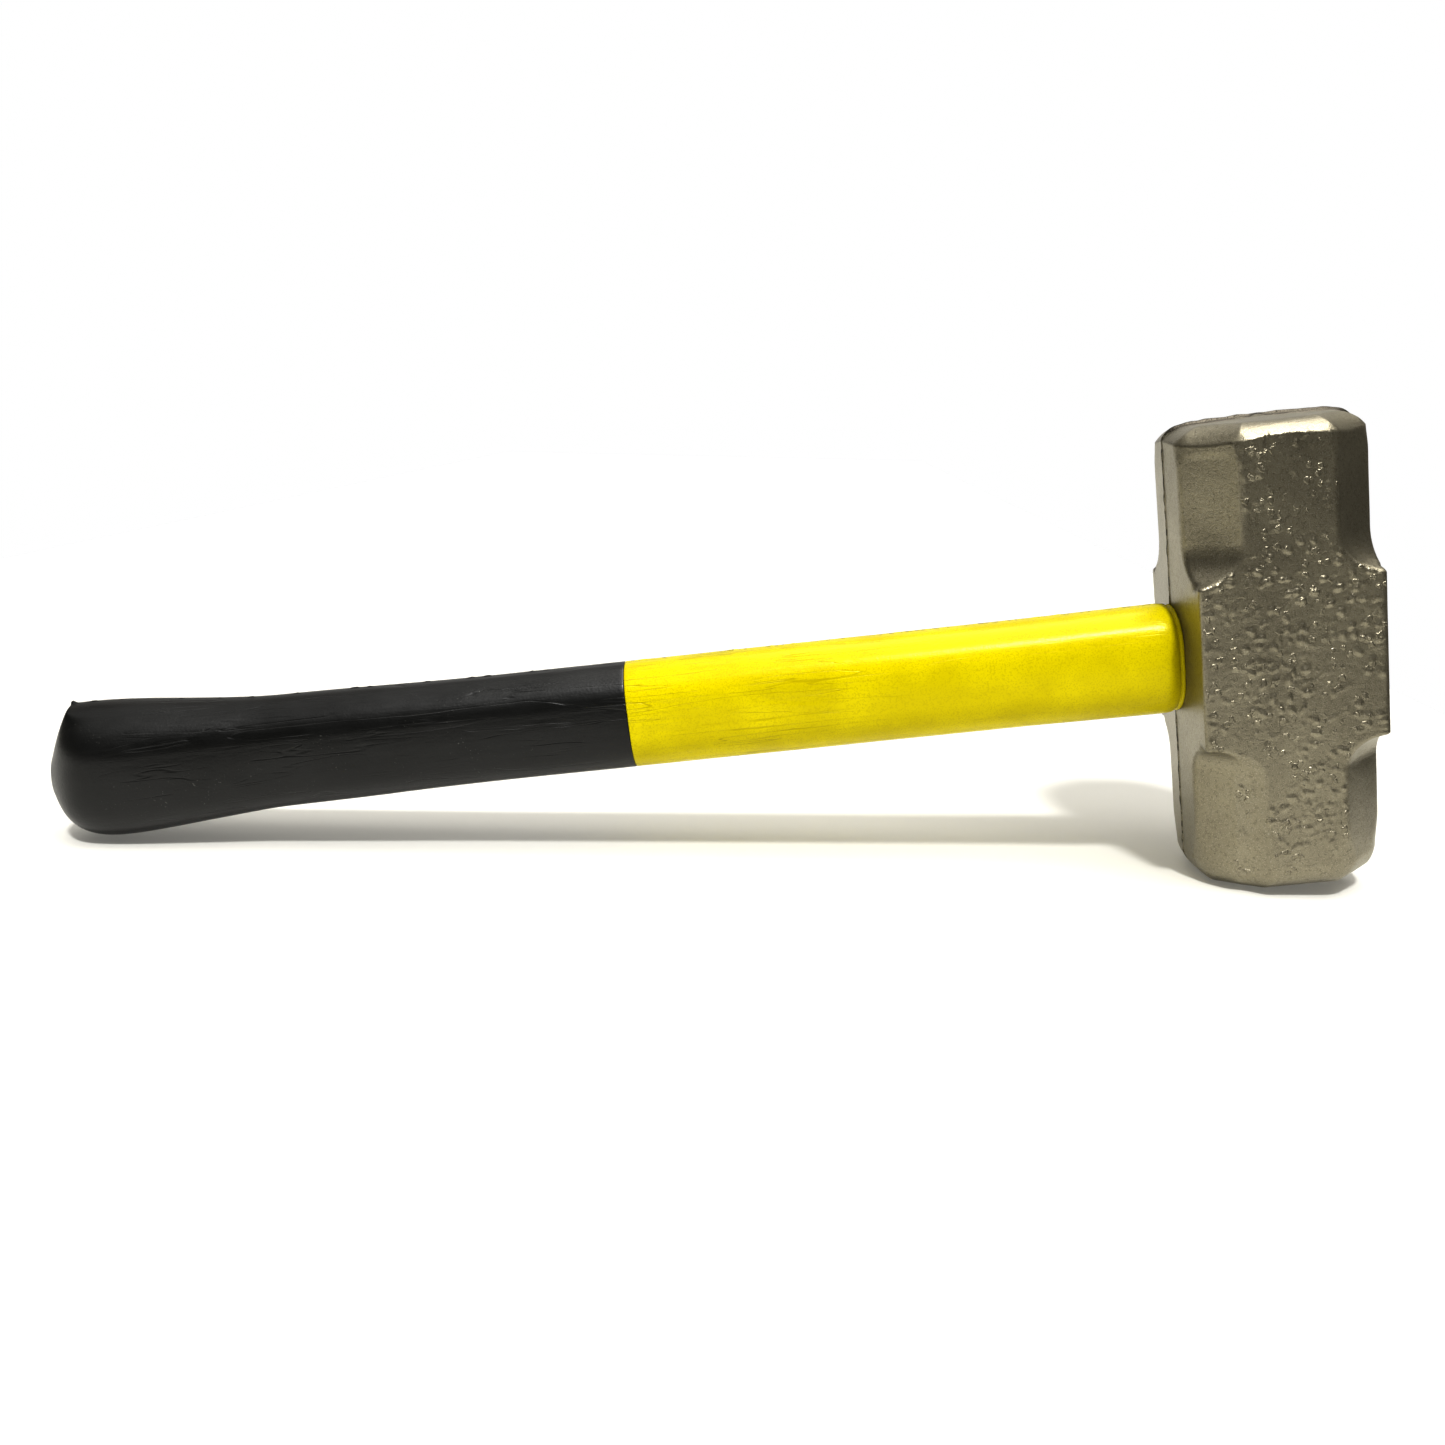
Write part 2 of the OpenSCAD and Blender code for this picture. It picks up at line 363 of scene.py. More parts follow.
def eye_wall(shape, ring_a, ring_b):
    """Rings of points through the eye, from the throat's mouth to the crown's."""
    start = np.array([shape[i] for i in ring_a])
    end = np.array([shape[i] for i in ring_b])

    def unit(across):
        return across / np.linalg.norm(across, axis=1)[:, None]

    direction = unit((unit(start[:, 1:]) + unit(end[:, 1:])) / 2)

    def ring(x, r):
        reach = oval_reach(direction[:, 0], direction[:, 1], EYE_C, r)
        return np.column_stack([x, direction * reach[:, None]])

    rings = []
    for turn in np.linspace(0, math.pi / 2, MOUTH_RINGS + 1)[1:]:
        drop, r = MOUTH_R * (1 - math.cos(turn)), THROAT_R + MOUTH_R * (1 - math.sin(turn))
        rings.append(ring(start[:, 0] + drop, r))
    for x in np.linspace(-HALF_W + WALL_INSET, HALF_W - WALL_INSET, WALL_RINGS):
        rings.append(ring(np.full(len(start), x), eye_radius(x)))
    for turn in np.linspace(math.pi / 2, 0, MOUTH_RINGS + 1)[:-1]:
        drop, r = MOUTH_R * (1 - math.cos(turn)), CROWN_R + MOUTH_R * (1 - math.sin(turn))
        rings.append(ring(end[:, 0] - drop, r))
    return rings


def head_shape():
    """The head: its grid opened at both mouths, the wall of the eye, and a cap at each end."""
    grid = head_grid()
    rows = grid.shape[0]
    shape, throat = open_mouth(grid, -1, THROAT_R)
    crowned, crown = open_mouth(grid, 1, CROWN_R)
    moved = (crowned != grid).any(-1)
    shape[moved] = crowned[moved]
    number = np.arange(rows * COLUMNS).reshape(rows, COLUMNS)
    faces = quads(number)

    width, extra, _ = EYE_GRID
    low, high = rows // 2 - width - extra, rows // 2 + width + extra
    inside = np.zeros((rows, COLUMNS), bool)
    for centre in (0, COLUMNS // 2):
        columns = (centre + np.arange(-width, width + 1)) % COLUMNS
        inside[low:high + 1, columns] = True
    faces = faces[~inside.ravel()[faces].all(1)]

    points = [shape.reshape(-1, 3)]
    count = rows * COLUMNS
    wall = [number[tuple(zip(*throat))]]
    for ring in eye_wall(shape, throat, crown):
        points.append(ring)
        wall.append(np.arange(count, count + len(ring)))
        count += len(ring)
    wall.append(number[tuple(zip(*crown))])
    parts = [faces, np.flip(quads(wall), 1)]

    for row, end in ((0, -1), (rows - 1, 1)):
        rim = shape[row]
        rings = [number[row]]
        for k in CAP_RINGS:
            z = end * (HALF_L - RIM_DROP + FACE_CROWN * (1 - k * k))
            points.append(np.column_stack([rim[:, :2] * k, np.full(COLUMNS, z)]))
            rings.append(np.arange(count, count + COLUMNS))
            count += COLUMNS
        points.append(np.array([[0, 0, end * (HALF_L - RIM_DROP + FACE_CROWN)]]))
        last = rings[-1]
        fan = np.stack([last, np.roll(last, -1), np.full(COLUMNS, count), last], -1)
        count += 1
        cap = quads(rings)
        parts.append(cap if end > 0 else np.flip(cap, 1))
        parts.append(fan if end > 0 else np.flip(fan, 1))
    points = np.concatenate(points)
    faces = [list(dict.fromkeys(f)) for part in parts for f in part.tolist()]
    used = np.zeros(len(points), bool)
    for f in faces:
        used[f] = True
    renumber = np.cumsum(used) - 1
    return points[used], [renumber[f] for f in faces]


def lumps(p, cell, seed):
    """Scattered oval lumps on the cheeks and flats, at most one in each square cell, 0 to 1."""
    place = p[:, [0, 2]] / cell
    base = np.floor(place).astype(np.int64)
    side = (p[:, 1] > 0).astype(np.int64)
    top = np.zeros(len(p))
    for step in np.ndindex(3, 3):
        ix, iz = (base + np.array(step) - 1).T
        a, b = lattice(ix, iz, side, seed), lattice(ix, iz, side + 2, seed)
        off = place - np.column_stack([ix, iz]) - 0.5 - LUMP_SHIFT * a[:, :2]
        c, s = np.cos(2 * b[:, 0]), np.sin(2 * b[:, 0])
        along = (off[:, 0] * c + off[:, 1] * s) / (LUMP_LENGTH + LENGTH_VARIES * b[:, 2])
        across = (off[:, 1] * c - off[:, 0] * s) / (LUMP_WIDTH + WIDTH_VARIES * a[:, 2])
        dome = np.maximum(1 - along**2 - across**2, 0)
        plateau = 0.75 * ramp(dome, 0, 0.5) + 0.25 * dome
        tall = (0.8 + 0.2 * b[:, 1]) * (b[:, 1] > LUMP_LEAST)
        top = np.maximum(top, plateau * tall)
    return top


def forging_scale(p):
    """Lumps in clusters, short ridges and a little roughness, in millimetres."""
    ends = ramp(np.abs(p[:, 2]), 26, 40)
    warp = p + 0.5 * np.column_stack([noise(p, 4, s) for s in (3, 4, 5)])
    cluster = noise(p, 11, 9) - 0.3 * ends
    coarse = lumps(warp, COARSE_CELL, 8) * ramp(cluster, -0.35, -0.05) * (1 - 0.35 * ends)
    small = lumps(warp, SMALL_CELL, 18) * ramp(noise(p, 8, 19), 0.05, 0.3)
    ridge = peak(noise(warp, 9, 6), 0.075) * ramp(noise(p, 6, 7), 0.12, 0.4)
    return np.maximum(COARSE_H * coarse, SMALL_H * small) + RIDGE_H * ridge + ROUGH_H * noise(p, 1.7, 10)


def crack(p):
    """1 in the small crack at the front, under the upper bevel."""
    x, y, z = p.T
    across = (x + 5.9 - 0.12 * (z - 62)) / 0.45
    past_end = np.maximum(np.abs(z - 63) - 2, 0) / 0.5
    return np.exp(-(across**2 + past_end**2)) * (y < -HALF_T + 4)


def head_height(p, n):
    """Forging scale, waviness, dished chamfers and the die seam, in millimetres along the normal."""
    ax, ay, az = np.abs(n).T
    x, y, z = p.T
    inside_eye = (np.abs(x) < HALF_W - WALL_INSET) & (np.hypot(y, z * 0.7) < 12)
    flat = ramp(ay, 0.9, 0.985)
    corner = ramp(np.minimum(ax, ay), 0.55, 0.69)
    struck = ramp(az, 0.5, 0.9)
    seam = ramp(ax, 0.85, 0.97)

    h = 0.10 * noise(p, 23, 1) + 0.035 * noise(p, 8, 2)
    h += forging_scale(p) * flat * (1 - struck)
    h += 0.03 * noise(p, 1.9, 15) * corner

    panel = (np.abs(x) - np.abs(y)) / math.sqrt(2) + 1.0
    upper = ramp(z, SCOOP_Z - 2, SCOOP_Z + 6) * ramp(z, UPPER_CREASE - 1, UPPER_CREASE - 5)
    h -= 0.35 * corner * upper * np.maximum(1 - (panel / 9) ** 2, 0)
    h -= 0.13 * corner * peak(z - UPPER_CREASE + 1.2, 1.0) * ramp(-x, 0, 8)

    wander = 0.25 * noise(p * (0, 0, 1), 14, 11) * (1 - struck)
    crumb = 0.45 + 0.55 * ramp(noise(p * (0, 0, 1), 3.1, 12), -0.3, 0.5)
    h += seam * crumb * 0.34 * peak(y - wander, 0.32)
    h -= seam * 0.16 * peak(y - wander + 0.85, 0.4)

    flash = struck * (z > 0) * peak(y, 0.4)
    h += 0.04 * noise(p, 3.0, 13) * struck + flash * (0.95 + 0.35 * noise(p * (1, 0, 0), 4, 16))
    h -= 0.45 * crack(p)
    return np.where(inside_eye, 0.03 * noise(p, 2, 14), h)


# ---------------------------------------------------------------- handle
AROUND = 4 * 46
NOSE_CHAMFER = 0.5
JACKET_STEP, SLEEVE_STEP = 0.85, 0.95   # between rings
END_RINGS, BLEND_RINGS = 39, 8          # over the end of the butt, and on to the first flat ring
STRAIGHT_X = BUTT_X + 20                # from here forward the rings are flat
SMOOTHED = slice(8, 96)                 # the rings from inside the butt's end to well up the flare
SMOOTH_ROUNDS = 220
TOP_CORNER = (17, 20.5)                 # the heights between which smoothing gives way to a sharp corner
TOP_SHARPER = 4                         # the rim of the butt is rounded this much less at the top
ROD_CHAMFER = 0.35
ROD_END_RINGS = (0.2, 0.4, 0.6, 0.8, 1.0)

# The lip rolled against the head: place along the handle from the head, and radius from the shoulder's
LIP = ((0.0, -1.9), (0.0, -0.95), (-0.12, -0.72), (-0.45, -0.62), (-0.85, -0.66), (-1.1, -0.85),
       (-1.22, -1.12), (-1.34, -1.12), (-1.5, -0.86), (-1.85, -0.55), (-2.4, -0.3), (-3.2, -0.12),
       (-4.3, -0.03))


def oval_columns():
    """Round an oval: the normal's angle, and the place along the straight side from -1 to 1."""
    length = GRIP_C + SHANK_R * math.pi / 2

    def near_seam(t):
        return 1 + 2.5 * peak(length - t, 1.2)

    run = spread(0, length, AROUND // 4, near_seam)[:-1]
    turn = np.maximum(run - GRIP_C, 0) / SHANK_R
    along = np.minimum(run / GRIP_C, 1)
    front = np.column_stack([turn, along])
    back = np.column_stack([math.pi - turn, along])[:0:-1]
    upper = np.concatenate([front, [[math.pi / 2, 1]], back])
    return np.concatenate([upper, [[math.pi, 0]], -upper[:0:-1]])


OVAL = oval_columns()


def oval_ring(x, r, c=GRIP_C, hug=0.0, bow=0.15):
    """One ring: end radius r, half straight length c, and hug 1 where it follows the head's draft."""
    turn, along = OVAL.T
    y = r * np.cos(turn)
    y = y + bow * np.sign(y) * (1 - along**2) * (np.abs(np.cos(turn)) > 0.999)
    z = r * np.sin(turn) + c * along
    return np.column_stack([x + hug * DRAFT * np.abs(y), y, z])


def loft(rings, closed=False):
    """A mesh over the rings: joined end to end where closed, and capped to a point where not."""
    n = len(OVAL)
    number = [np.arange(k * n, (k + 1) * n) for k in range(len(rings))]
    points = np.concatenate(rings)
    if closed:
        return points, quads(number + number[:1])
    faces = quads(number).tolist()
    for ring, number_ring, flip in ((rings[0], number[0], True), (rings[-1], number[-1], False)):
        tip = len(points)
        points = np.concatenate([points, [ring.mean(0)]])
        for a, b in zip(number_ring, np.roll(number_ring, -1)):
            faces.append([b, a, tip] if flip else [a, b, tip])
    return points, faces


def steps(low, high, size):
    """Even places from low to high, about that size apart."""
    return np.linspace(low, high, max(2, round(abs(high - low) / size) + 1))


def jacket_radius(x):
    """End radius of the jacket's oval at a place along the handle."""
    return SHOULDER_R - (SHOULDER_R - SHANK_R) * ease((-HALF_W - x) / SHOULDER_L)


def sleeve_radius(x):
    """End radius of the grip's oval at a place along the handle."""
    palm = (PALM_R - SHANK_R) * ease((SLEEVE_X - PALM_START - x) / PALM_L)
    flare = (BUTT_R - PALM_R) * ease((BUTT_X + FLARE_L - x) / (FLARE_L - BUTT_ROUND))
    return SHANK_R + palm + flare


def rebate_rings(start, end):
    """Under the sleeve, with the ribs that key the two together, from start down to end."""
    places = [(start, 0)]
    for i in range(1, RIBS + 1):
        low = SLEEVE_X - i * RIB_PITCH
        places += [(low + RIB_L + RIB_EDGE, 0), (low + RIB_L, 1), (low, 1), (low - RIB_EDGE, 0)]
    places.append((end, 0))
    return [oval_ring(x, REBATE_R + RIB_H * rib, bow=0) for x, rib in places]


def jacket_shape():
    """The yellow jacket: pilot nose, lip, shoulder, shank, rebate and the bore for the rod."""
    rings = [oval_ring(PILOT_X, CORE_R, CORE_C, bow=0)]
    rings.append(oval_ring(PILOT_X, PILOT_R - NOSE_CHAMFER, EYE_C, bow=0))
    rings.append(oval_ring(PILOT_X - NOSE_CHAMFER, PILOT_R, EYE_C, bow=0))
    rings.append(oval_ring(-HALF_W + 0.3, PILOT_R, EYE_C, bow=0))
    for x, r in LIP:
        hug = float(ramp(np.array(x), -5.5, -2.0))
        rings.append(oval_ring(-HALF_W + x, SHOULDER_R + r, hug=hug))
    for x in steps(-HALF_W - 5.2, SLEEVE_X + 0.5, JACKET_STEP):
        rings.append(oval_ring(x, jacket_radius(x)))
    rings += [oval_ring(SLEEVE_X + 0.15, SHANK_R - 0.06), oval_ring(SLEEVE_X, SHANK_R - 0.3)]
    rings += rebate_rings(SLEEVE_X - 0.01, JACKET_X)
    rings += [oval_ring(x, CORE_R, CORE_C, bow=0) for x in steps(JACKET_X, PILOT_X - 1, 20)]
    return loft(rings[::-1], closed=True)


def butt_depth(y, z):
    """How far the end of the butt lies in front of its tip: a barrel, with the rim rounded."""
    reach = BUTT_ARC - BARREL_R + np.sqrt(BARREL_R**2 - np.minimum(np.abs(y), BARREL_R - 0.1) ** 2)
    barrel = BUTT_ARC - np.sqrt(reach**2 - (z - BUTT_LOW) ** 2)
    round_r = BUTT_ROUND - TOP_SHARPER * ramp(z, 8, 18)
    out = np.hypot(y, np.maximum(np.abs(z) - GRIP_C, 0)) - BUTT_R + round_r
    rim = round_r - np.sqrt(round_r**2 - np.clip(out, 0, round_r) ** 2)
    return (barrel + rim + np.sqrt((barrel - rim) ** 2 + 0.5)) / 2


def relaxed(rings, rounds):
    """Rings smoothed along the handle, except on the sharp top corner of the butt."""
    block = np.array(rings)
    keep = ramp(block[1:-1, :, 2:3], *TOP_CORNER)
    for _ in range(rounds):
        block[1:-1] += (1 - keep) * ((block[:-2] + block[2:]) / 2 - block[1:-1]) / 2
    return list(block)


def sleeve_shape():
    """The rubber grip: barrel-shaped butt, flare, palm swell, front edge and the bore."""
    rings = []
    for turn in np.linspace(0, math.pi / 2, END_RINGS + 1)[1:]:
        k = math.sin(turn)
        end = oval_ring(0.0, BUTT_R * k, GRIP_C * k, bow=0)
        end[:, 0] = BUTT_X + butt_depth(end[:, 1], end[:, 2])
        rings.append(end)
    start = rings[-1][:, 0]
    for k in np.linspace(0, 1, BLEND_RINGS + 1)[1:]:
        x = start + (STRAIGHT_X - start) * k
        rings.append(oval_ring(x, sleeve_radius(x), bow=0.15 * k))
    for x in steps(STRAIGHT_X + SLEEVE_STEP, SLEEVE_X - 0.5, SLEEVE_STEP):
        rings.append(oval_ring(x, sleeve_radius(x)))
    rings[SMOOTHED] = relaxed(rings[SMOOTHED], SMOOTH_ROUNDS)
    rings += [oval_ring(SLEEVE_X - 0.15, SHANK_R - 0.04), oval_ring(SLEEVE_X, SHANK_R - 0.22)]
    rings += rebate_rings(SLEEVE_X, JACKET_X)
    rings += [oval_ring(JACKET_X, CORE_R, CORE_C, bow=0), oval_ring(CORE_X0, CORE_R, CORE_C, bow=0)]
    rings.append(oval_ring(CORE_X0, CORE_R * 0.5, CORE_C * 0.5, bow=0))
    return loft(rings)


def core_shape():
    """The glass rod, with its sawn ends broken by a small chamfer."""
    rings = []
    for end, sign in ((CORE_X0, 1), (CORE_X1, -1)):
        cap = [oval_ring(end, CORE_R * k - ROD_CHAMFER, CORE_C * k, bow=0) for k in ROD_END_RINGS]
        cap.append(oval_ring(end + sign * ROD_CHAMFER, CORE_R, CORE_C, bow=0))
        rings += cap if sign > 0 else cap[::-1]
        if sign > 0:
            rings += [oval_ring(x, CORE_R, CORE_C, bow=0) for x in steps(CORE_X0 + 2, CORE_X1 - 2, 12)]
    return loft(rings)


def epoxy_shape():
    """The poured epoxy: it fills the eye round the rod and creeps up both walls at the crown."""
    rings = [oval_ring(SEAL_X, CORE_R, CORE_C, bow=0)]
    rings += [oval_ring(x, float(eye_radius(x)), EYE_C, bow=0) for x in steps(SEAL_X, EPOXY_X - 1.5, 3)]
    wall = float(eye_radius(EPOXY_X))
    for k in np.linspace(0, 1, 15):
        creep = 0.7 * math.exp(-k / 0.13) + 0.35 * math.exp(-(1 - k) / 0.1)
        r = wall + (CORE_R - wall) * k
        rings.append(oval_ring(EPOXY_X - 0.45 + creep, r, EYE_C + (CORE_C - EYE_C) * k, bow=0))
    return loft(rings, closed=True)


def seam_bead(p, size, seed, floor):
    """Crumbs of moulding flash along the top and bottom of the handle."""
    line = p * (1, 0, 0) + np.column_stack([0 * p[:, 0], 0 * p[:, 0], 40 * np.sign(p[:, 2])])
    crumb = floor + ramp(noise(line, size, seed), 0.15, 0.6)
    return crumb * peak(p[:, 1], 0.5)


def handle_outside(p):
    """1 on the outside of the handle, 0 in its bores and on the nose in the eye."""
    side = ramp(np.hypot(p[:, 1], np.maximum(np.abs(p[:, 2]) - GRIP_C, 0)), 10.2, 10.9)
    return np.where(p[:, 0] < BUTT_X + 8.5, 1.0, side * (p[:, 0] < -HALF_W - 0.3))


def grain(p, seed):
    """Long shallow folds that run along the handle, merge and part."""
    bent = p + np.column_stack([0 * p[:, 0], *[1.2 * noise(p, (30, 9, 9), seed + k) for k in (1, 2)]])
    fold = peak(noise(bent, (46, 3.2, 3.2), seed), 0.075)
    return fold * ramp(noise(p, (28, 7, 7), seed + 3), -0.15, 0.4)


def jacket_height(p, n):
    """Folds toward the grip, crumbs of flash on the seam, and one nick on the front."""
    near_grip = ramp(p[:, 0], SLEEVE_X + 105, SLEEVE_X + 45)
    h = 0.05 * noise(p, (24, 9, 9), 21) + 0.012 * noise(p, (3, 1.4, 1.4), 22)
    h -= 0.12 * grain(p, 23) * near_grip
    h += 0.16 * seam_bead(p, 2.4, 27, 0.35) * (np.abs(p[:, 2]) > 14)
    nick = np.hypot((p[:, 0] - SLEEVE_X - 19) / 0.5, (p[:, 2] + 5.2) / 1.3)
    h -= 0.4 * peak(nick, 1) * (p[:, 1] < 0)
    return h * handle_outside(p)


def sleeve_height(p, n):
    """Folds toward the jacket, crumbs of flash on the seam, and a spur of it on the butt."""
    h = 0.07 * noise(p, (30, 10, 10), 31) + 0.012 * noise(p, (4, 1.6, 1.6), 32)
    h -= 0.06 * grain(p, 33) * ramp(p[:, 0], SLEEVE_X - 120, SLEEVE_X - 20)
    h += 0.3 * seam_bead(p, 3.2, 37, 0.12) * ((np.abs(p[:, 2]) > 14) | (p[:, 0] < BUTT_X + 14))
    spur = np.hypot((p[:, 0] - BUTT_X - 10.4) / 0.9, p[:, 1] / 0.5)
    h += 0.9 * peak(spur, 1) * (p[:, 2] > 14)
    return h * handle_outside(p)


def core_height(p, n):
    """The rod's sawn ends are a little rough."""
    end = ramp(np.abs(n[:, 0]), 0.5, 0.9)
    return end * 0.05 * noise(p, 0.9, 41)


def epoxy_height(p, n):
    """The epoxy is uneven where it shows, at the crown."""
    return 0.06 * noise(p, 3.2, 42) * (p[:, 0] > EPOXY_X - 1.3)


# ---------------------------------------------------------------- materials
STEEL = ((0.262, 0.240, 0.178), (0.318, 0.292, 0.217))
# The pit tone is painted shade in the pits of the grain, and the shine tone is a painted highlight on its
# crests.
STEEL_PIT_SHADE, STEEL_SHINE = (0.13, 0.115, 0.082), (0.45, 0.42, 0.35)
DIE_SEAM = (0.03, 0.026, 0.02)
YELLOW = ((0.61, 0.515, 0.0), (0.70, 0.60, 0.0))
# The fold tone is painted shade in the grooves of the folds.
YELLOW_FOLD_SHADE, YELLOW_PEEL, YELLOW_SPECK = (0.38, 0.30, 0.0), (0.47, 0.38, 0.0), (0.05, 0.045, 0.015)
YELLOW_SHEEN = (1.0, 0.93, 0.25)
BLACK = ((0.003, 0.0032, 0.0031), (0.006, 0.0063, 0.0062))
DUST = (0.12, 0.12, 0.11)
EPOXY, EPOXY_BUBBLE = ((0.14, 0.085, 0.025), (0.25, 0.16, 0.05)), (0.42, 0.32, 0.16)
GLASS, GLASS_GAP = ((0.50, 0.45, 0.26), (0.70, 0.66, 0.45)), (0.32, 0.27, 0.13)
SEAL = ((0.012, 0.012, 0.012), (0.03, 0.03, 0.03))


class Graph:
    """Shorthand for building the nodes of a material or a world."""

    def __init__(self, owner):
        self.owner = owner
        owner.use_nodes = True
        self.tree = owner.node_tree
        self.shader = self.tree.nodes.get("Principled BSDF")

    def node(self, kind, **settings):
        made = self.tree.nodes.new(kind)
        for key, value in settings.items():
            setattr(made, key, value)
        return made

    def link(self, out, into):
        self.tree.links.new(out, into)

    def put(self, socket, value):
        if isinstance(value, bpy.types.NodeSocket):
            self.link(value, socket)
        else:
            socket.default_value = value

    def tool_place(self, stretch=(1, 1, 1)):
        """Millimetres in the tool frame, divided by a stretch along each axis."""
        where = self.node("ShaderNodeTexCoord").outputs["Object"]
        turn = self.node("ShaderNodeMapping", vector_type="TEXTURE")
        self.link(where, turn.inputs["Vector"])
        turn.inputs["Location"].default_value = CENTRE
        turn.inputs["Rotation"].default_value = (0, -LEAN, 0)
        turn.inputs["Scale"].default_value = [MM * s for s in stretch]
        return turn.outputs["Vector"]

    def noise(self, place, size, detail=2.0, rough=0.5, distortion=0.0):
        """Noise from 0 to 1 with features of about that size."""
        made = self.node("ShaderNodeTexNoise")
        self.put(made.inputs["Vector"], place)
        self.put(made.inputs["Scale"], 1 / size)
        self.put(made.inputs["Detail"], detail)
        self.put(made.inputs["Roughness"], rough)
        self.put(made.inputs["Distortion"], distortion)
        return made.outputs["Fac"]

    def cells(self, place, size):
        """Distance to the middle of the nearest cell, for cells of about that size."""
        made = self.node("ShaderNodeTexVoronoi")
        self.put(made.inputs["Vector"], place)
        self.put(made.inputs["Scale"], 1 / size)
        return made.outputs["Distance"]

    def shaken(self, place, size, reach):
        """A place pushed about by noise of that size, so that round cells become uneven."""
        push = self.node("ShaderNodeTexNoise")
        self.put(push.inputs["Vector"], place)
        self.put(push.inputs["Scale"], 1 / size)
        moved = self.node("ShaderNodeVectorMath", operation="MULTIPLY_ADD")
        for socket, value in zip(moved.inputs, (push.outputs["Color"], (reach, reach, reach), place)):
            self.put(socket, value)
        return moved.outputs[0]

    def math(self, operation, a, b=0.0, c=0.0):
        made = self.node("ShaderNodeMath", operation=operation)
        for socket, value in zip(made.inputs, (a, b, c)):
            self.put(socket, value)
        return made.outputs[0]

    def times(self, a, b):
        return self.math("MULTIPLY", a, b)

    def band(self, value, low, high, to_low=0.0, to_high=1.0):
        """A value carried from one range to another, clamped."""
        made = self.node("ShaderNodeMapRange", interpolation_type="SMOOTHSTEP")
        for name, v in (("Value", value), ("From Min", low), ("From Max", high),
                        ("To Min", to_low), ("To Max", to_high)):
            self.put(made.inputs[name], v)
        return made.outputs[0]

    def line(self, value, width):
        """1 along the lines where a noise crosses its middle, falling to 0 within width."""
        off = self.math("ABSOLUTE", self.math("SUBTRACT", value, 0.5))
        return self.band(off, 0.0, width, 1.0, 0.0)

    def mix(self, factor, a, b):
        made = self.node("ShaderNodeMix", data_type="RGBA")
        self.put(made.inputs["Factor"], factor)
        self.put(made.inputs["A"], (*a, 1) if isinstance(a, tuple) else a)
        self.put(made.inputs["B"], (*b, 1) if isinstance(b, tuple) else b)
        return made.outputs["Result"]

    def tint(self, tone, colour, mask, strength):
        """A tone with a colour over it where the mask is 1, at that strength."""
        return self.mix(self.times(mask, strength), tone, colour)

    def patches(self, place, size, tones):
        """Two tones in soft patches of about that size."""
        return self.mix(self.band(self.noise(place, size, 3.0), 0.35, 0.65), *tones)

    def split(self, place):
        made = self.node("ShaderNodeSeparateXYZ")
        self.put(made.inputs[0], place)
        return made.outputs

    def bump(self, height, distance):
        """Height from 0 to 1 over a depth in millimetres."""
        made = self.node("ShaderNodeBump")
        self.put(made.inputs["Height"], height)
        self.put(made.inputs["Distance"], distance * MM)
        self.put(made.inputs["Strength"], 1.0)
        self.link(made.outputs["Normal"], self.shader.inputs["Normal"])

    def total(self, *terms):
        """A sum of value and weight pairs."""
        result = 0.0
        for value, weight in terms:
            result = self.math("MULTIPLY_ADD", value, weight, result)
        return result

    def finish(self, **sockets):
        """Sets the shader's sockets, named with _ for a space, and gives the material."""
        for name, value in sockets.items():
            value = (*value, 1) if isinstance(value, tuple) else value
            self.put(self.shader.inputs[name.replace("_", " ")], value)
        return self.owner


def new_graph(name):
    return Graph(bpy.data.materials.new(name))


def facing_flat(g):
    """1 on the cheeks and main flats, where the dies left their scale."""
    normal = g.node("ShaderNodeNewGeometry").outputs["Normal"]
    return g.band(g.math("ABSOLUTE", g.split(normal)[1]), 0.78, 0.96)


def head_material():
    """Dull forged steel: pits and pebbles, fine grain, painted shade in the pits, a painted highlight on
    the grain's crests, and a dark line along the die seam.
    """
    g = new_graph("forged_head")
    place = g.tool_place()
    flat = facing_flat(g)
    cluster = g.band(g.noise(place, 9.0, 1.0), 0.42, 0.56)
    spots = g.cells(g.shaken(place, 1.6, 2.2), 3.1)
    bits = g.times(g.band(spots, 0.22, 0.34, 1.0, 0.0), cluster)
    pebble = g.noise(place, 1.1, 2.0, 0.6)
    fine = g.noise(place, 0.36, 2.0)
    g.bump(g.total((g.times(bits, flat), 0.9), (pebble, 0.34), (fine, 0.3)), 0.27)
    tone = g.patches(place, 26, STEEL)
    # Painted shade: darker where the pebbles and the fine grain are lowest, in the pits.
    pit_shade = g.times(g.band(pebble, 0.55, 0.35), g.band(fine, 0.6, 0.4))
    tone = g.tint(tone, STEEL_PIT_SHADE, pit_shade, 0.5)
    # Painted highlight: lighter on the crests of the fine grain.
    tone = g.tint(tone, STEEL_SHINE, g.band(fine, 0.54, 0.7), 0.55)
    tone = g.mix(dark_seam(g, place), tone, DIE_SEAM)
    rough = g.total((g.noise(place, 7, 3.0), 0.12), (fine, 0.12))
    return g.finish(Base_Color=tone, Metallic=0.85, Roughness=g.math("ADD", rough, 0.22))


